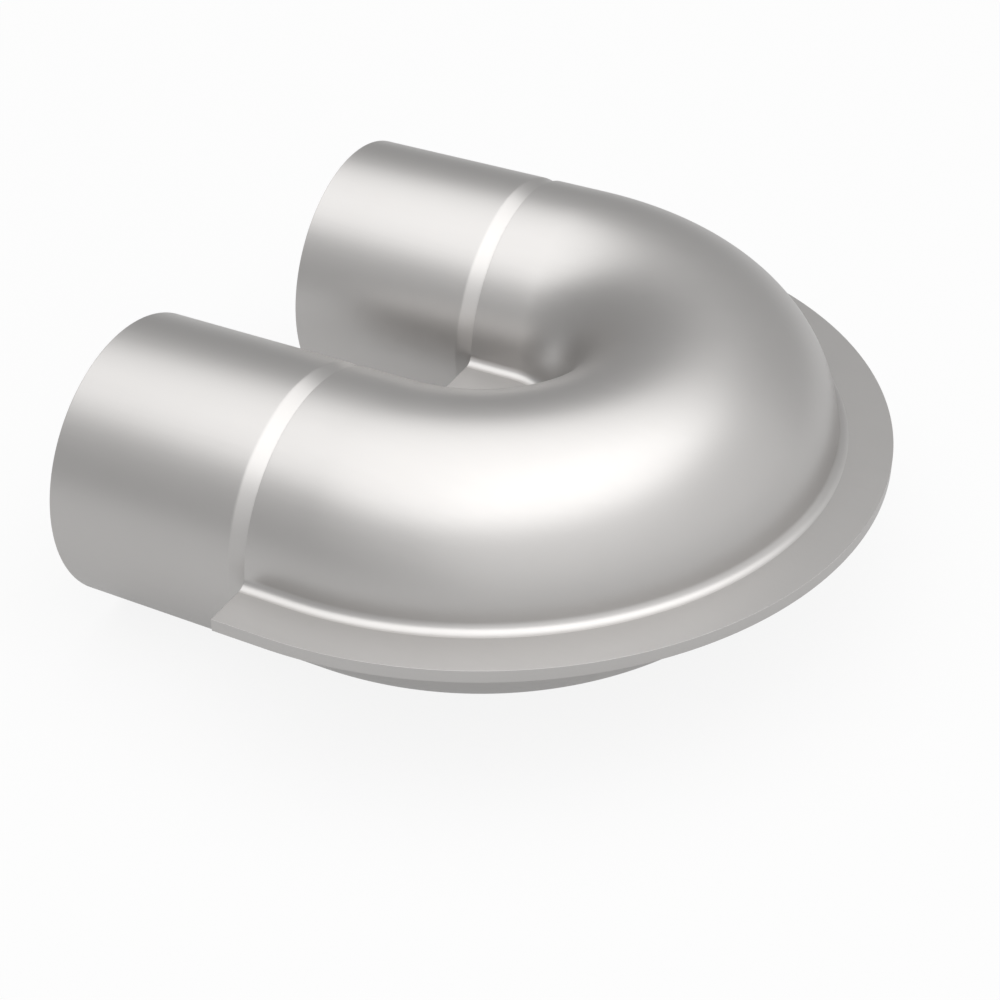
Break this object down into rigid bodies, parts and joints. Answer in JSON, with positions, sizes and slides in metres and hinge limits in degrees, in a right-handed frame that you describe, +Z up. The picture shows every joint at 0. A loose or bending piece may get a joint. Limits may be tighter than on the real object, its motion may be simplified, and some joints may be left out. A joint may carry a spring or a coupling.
{
  "type": "exhaust u-bend",
  "caption": "180 degree exhaust return bend: half shells joined at a flat seam flange, with a straight round tube let into the collar at either end.",
  "frame": {"origin": "centre of the bounding box's bottom face, on the surface that the part rests on", "axes": "+X from the tube mouths towards the bend, +Y across the two legs from the inlet tube to the outlet tube, +Z up, at right angles to the seam flange"},
  "size_m": [0.1262, 0.1524, 0.0524],
  "materials": {
    "shell_steel": "satin pressed stainless steel",
    "tube_steel": "satin drawn stainless steel tube"
  },
  "bodies": {
    "root": {"upper_half_shell": "shell_steel", "lower_half_shell": "shell_steel", "inlet_tube": "tube_steel", "outlet_tube": "tube_steel"}
  },
  "joints": []
}
